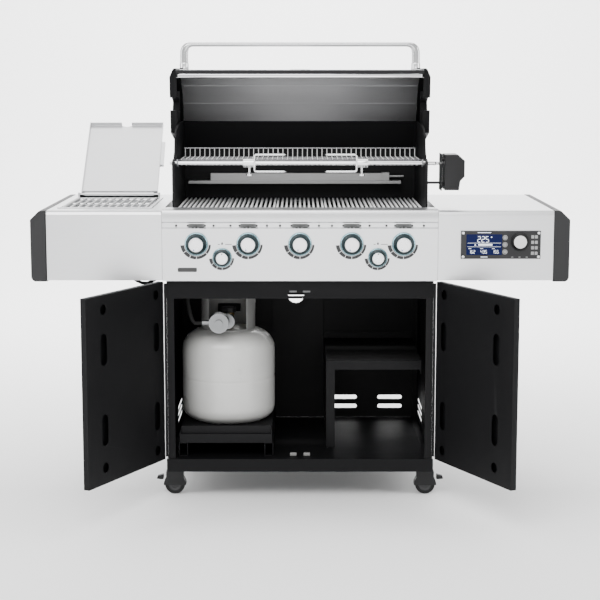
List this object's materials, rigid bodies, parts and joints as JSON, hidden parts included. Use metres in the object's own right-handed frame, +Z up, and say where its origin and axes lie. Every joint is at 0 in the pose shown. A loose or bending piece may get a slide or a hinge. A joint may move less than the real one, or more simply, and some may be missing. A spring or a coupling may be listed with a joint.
{
  "type": "gas barbecue grill",
  "caption": "Freestanding gas barbecue with opening lid, side burner, rotisserie, front controls, two-door cabinet with a gas tank on a slide-out tray, and locking casters",
  "frame": {"origin": "middle of the footprint, on the floor, with the lid and both doors open", "axes": "+X to the user's right along the longest side, +Y from front to back, +Z up"},
  "size_m": [1.62, 1.082, 1.3977],
  "materials": {
    "black_steel": "satin powder coat",
    "stainless": "brushed",
    "cast_black": "black textured casting",
    "chrome": "polished",
    "cast_iron": "satin grey",
    "grey_plastic": "fine texture",
    "black_plastic": "fine texture",
    "rubber": "matt",
    "tank_paint": "gloss",
    "brass": "machined",
    "zinc": "cast"
  },
  "bodies": {
    "frame": {"base_pan": "black_steel", "side_panel_left": "black_steel", "side_panel_right": "black_steel", "back_panel": "black_steel", "top_rail": "black_steel", "cabinet_shelf": "black_steel", "control_panel": "stainless", "shelf_left": "stainless", "shelf_right": "stainless", "shelf_cap_left": "grey_plastic", "shelf_cap_right": "grey_plastic", "controller_housing": "grey_plastic", "side_burner": "stainless", "side_grate": "chrome", "firebox": "cast_black", "burner_set": "stainless", "cooking_grid": "cast_iron", "warming_rack": "chrome", "rear_burner": "stainless", "spit_motor": "black_plastic", "gas_hoses": "rubber"},
    "door_left": {"door_left": "black_steel", "door_handle_left": "stainless"},
    "door_right": {"door_right": "black_steel", "door_handle_right": "stainless"},
    "tank_carriage": {"tank_tray": "black_steel", "gas_tank": "tank_paint", "tank_valve": "brass", "regulator": "zinc"},
    "valve_handwheel": {"valve_handwheel": "black_plastic"},
    "lid": {"lid_shell": "stainless", "lid_cap_left": "cast_black", "lid_cap_right": "cast_black", "lid_handle": "stainless"},
    "side_lid": {"side_lid": "stainless"},
    "grease_tray": {"grease_tray": "stainless"},
    "spit": {"spit_rod": "chrome"},
    "spit_fork_left": {"spit_fork_left": "chrome"},
    "spit_fork_right": {"spit_fork_right": "chrome"},
    "controller_dial": {"controller_dial": "black_plastic"},
    "burner_knob_1": {"burner_knob_1": "chrome"},
    "burner_knob_2": {"burner_knob_2": "chrome"},
    "burner_knob_3": {"burner_knob_3": "chrome"},
    "burner_knob_4": {"burner_knob_4": "chrome"},
    "burner_knob_5": {"burner_knob_5": "chrome"},
    "side_burner_knob": {"side_burner_knob": "chrome"},
    "rear_burner_knob": {"rear_burner_knob": "chrome"},
    "controller_button_1": {"controller_button_1": "black_plastic"},
    "controller_button_2": {"controller_button_2": "black_plastic"},
    "controller_button_3": {"controller_button_3": "black_plastic"},
    "caster_front_left": {"caster_fork_front_left": "black_plastic"},
    "wheel_front_left": {"caster_wheel_front_left": "rubber"},
    "brake_left": {"caster_brake_left": "black_plastic"},
    "caster_front_right": {"caster_fork_front_right": "black_plastic"},
    "wheel_front_right": {"caster_wheel_front_right": "rubber"},
    "brake_right": {"caster_brake_right": "black_plastic"},
    "caster_rear_left": {"caster_fork_rear_left": "black_plastic"},
    "wheel_rear_left": {"caster_wheel_rear_left": "rubber"},
    "caster_rear_right": {"caster_fork_rear_right": "black_plastic"},
    "wheel_rear_right": {"caster_wheel_rear_right": "rubber"}
  },
  "joints": [
    {"name": "lid_hinge", "type": "hinge", "parent": "frame", "child": "lid", "pos_m": [0, 0.18951, 0.96], "axis": [1, 0, 0], "range_deg": [0, 90]},
    {"name": "door_left_hinge", "type": "hinge", "parent": "frame", "child": "door_left", "pos_m": [-0.414, -0.17749, 0.4], "axis": [0, 0, 1], "range_deg": [0, 117]},
    {"name": "door_right_hinge", "type": "hinge", "parent": "frame", "child": "door_right", "pos_m": [0.414, -0.17749, 0.4], "axis": [0, 0, -1], "range_deg": [0, 117]},
    {"name": "side_lid_hinge", "type": "hinge", "parent": "frame", "child": "side_lid", "pos_m": [0, 0.27851, 0.905], "axis": [1, 0, 0], "range_deg": [0, 139]},
    {"name": "tank_tray_slide", "type": "slide", "parent": "frame", "child": "tank_carriage", "axis": [0, 1, 0], "range_m": [-0.28, 0], "deforming": ["gas_hoses"]},
    {"name": "tank_valve_turn", "type": "hinge", "parent": "tank_carriage", "child": "valve_handwheel", "pos_m": [-0.229, 0.06651, 0.553], "axis": [0, 0, 1], "range_deg": [0, 1080]},
    {"name": "grease_tray_slide", "type": "slide", "parent": "frame", "child": "grease_tray", "axis": [0, 1, 0], "range_m": [0, 0.25]},
    {"name": "spit_turn", "type": "hinge", "parent": "frame", "child": "spit", "pos_m": [0, -0.05049, 1.026], "axis": [1, 0, 0], "continuous": true},
    {"name": "spit_fork_left_slide", "type": "slide", "parent": "spit", "child": "spit_fork_left", "axis": [1, 0, 0], "range_m": [-0.15, 0.06]},
    {"name": "spit_fork_right_slide", "type": "slide", "parent": "spit", "child": "spit_fork_right", "axis": [1, 0, 0], "range_m": [-0.06, 0.15]},
    {"name": "burner_knob_1_turn", "type": "hinge", "parent": "frame", "child": "burner_knob_1", "pos_m": [-0.3112, -0.20549, 0.792], "axis": [0, -1, 0], "range_deg": [0, 225]},
    {"name": "burner_knob_2_turn", "type": "hinge", "parent": "frame", "child": "burner_knob_2", "pos_m": [-0.1556, -0.20549, 0.792], "axis": [0, -1, 0], "range_deg": [0, 225]},
    {"name": "burner_knob_3_turn", "type": "hinge", "parent": "frame", "child": "burner_knob_3", "pos_m": [0, -0.20549, 0.792], "axis": [0, -1, 0], "range_deg": [0, 225]},
    {"name": "burner_knob_4_turn", "type": "hinge", "parent": "frame", "child": "burner_knob_4", "pos_m": [0.1556, -0.20549, 0.792], "axis": [0, -1, 0], "range_deg": [0, 225]},
    {"name": "burner_knob_5_turn", "type": "hinge", "parent": "frame", "child": "burner_knob_5", "pos_m": [0.3112, -0.20549, 0.792], "axis": [0, -1, 0], "range_deg": [0, 225]},
    {"name": "side_burner_knob_turn", "type": "hinge", "parent": "frame", "child": "side_burner_knob", "pos_m": [-0.234, -0.20549, 0.751], "axis": [0, -1, 0], "range_deg": [0, 225]},
    {"name": "rear_burner_knob_turn", "type": "hinge", "parent": "frame", "child": "rear_burner_knob", "pos_m": [0.234, -0.20549, 0.751], "axis": [0, -1, 0], "range_deg": [0, 225]},
    {"name": "controller_dial_turn", "type": "hinge", "parent": "frame", "child": "controller_dial", "pos_m": [0.659, -0.20749, 0.8], "axis": [0, -1, 0], "continuous": true},
    {"name": "controller_button_1_press", "type": "slide", "parent": "frame", "child": "controller_button_1", "axis": [0, 1, 0], "range_m": [0, 0.0015], "stiffness_N_per_m": 400},
    {"name": "controller_button_2_press", "type": "slide", "parent": "frame", "child": "controller_button_2", "axis": [0, 1, 0], "range_m": [0, 0.0015], "stiffness_N_per_m": 400},
    {"name": "controller_button_3_press", "type": "slide", "parent": "frame", "child": "controller_button_3", "axis": [0, 1, 0], "range_m": [0, 0.0015], "stiffness_N_per_m": 400},
    {"name": "caster_front_left_swivel", "type": "hinge", "parent": "frame", "child": "caster_front_left", "pos_m": [-0.374, -0.11749, 0.09], "axis": [0, 0, 1], "continuous": true},
    {"name": "wheel_front_left_roll", "type": "hinge", "parent": "caster_front_left", "child": "wheel_front_left", "pos_m": [-0.39, -0.11749, 0.031], "axis": [0, 1, 0], "continuous": true},
    {"name": "brake_left_lever", "type": "hinge", "parent": "caster_front_left", "child": "brake_left", "pos_m": [-0.4274, -0.11749, 0.054], "axis": [0, 1, 0], "range_deg": [0, 15]},
    {"name": "caster_front_right_swivel", "type": "hinge", "parent": "frame", "child": "caster_front_right", "pos_m": [0.374, -0.11749, 0.09], "axis": [0, 0, 1], "continuous": true},
    {"name": "wheel_front_right_roll", "type": "hinge", "parent": "caster_front_right", "child": "wheel_front_right", "pos_m": [0.39, -0.11749, 0.031], "axis": [0, 1, 0], "continuous": true},
    {"name": "brake_right_lever", "type": "hinge", "parent": "caster_front_right", "child": "brake_right", "pos_m": [0.4274, -0.11749, 0.054], "axis": [0, -1, 0], "range_deg": [0, 15]},
    {"name": "caster_rear_left_swivel", "type": "hinge", "parent": "frame", "child": "caster_rear_left", "pos_m": [-0.374, 0.35451, 0.09], "axis": [0, 0, 1], "continuous": true},
    {"name": "wheel_rear_left_roll", "type": "hinge", "parent": "caster_rear_left", "child": "wheel_rear_left", "pos_m": [-0.39, 0.35451, 0.031], "axis": [0, 1, 0], "continuous": true},
    {"name": "caster_rear_right_swivel", "type": "hinge", "parent": "frame", "child": "caster_rear_right", "pos_m": [0.374, 0.35451, 0.09], "axis": [0, 0, 1], "continuous": true},
    {"name": "wheel_rear_right_roll", "type": "hinge", "parent": "caster_rear_right", "child": "wheel_rear_right", "pos_m": [0.39, 0.35451, 0.031], "axis": [0, 1, 0], "continuous": true}
  ]
}
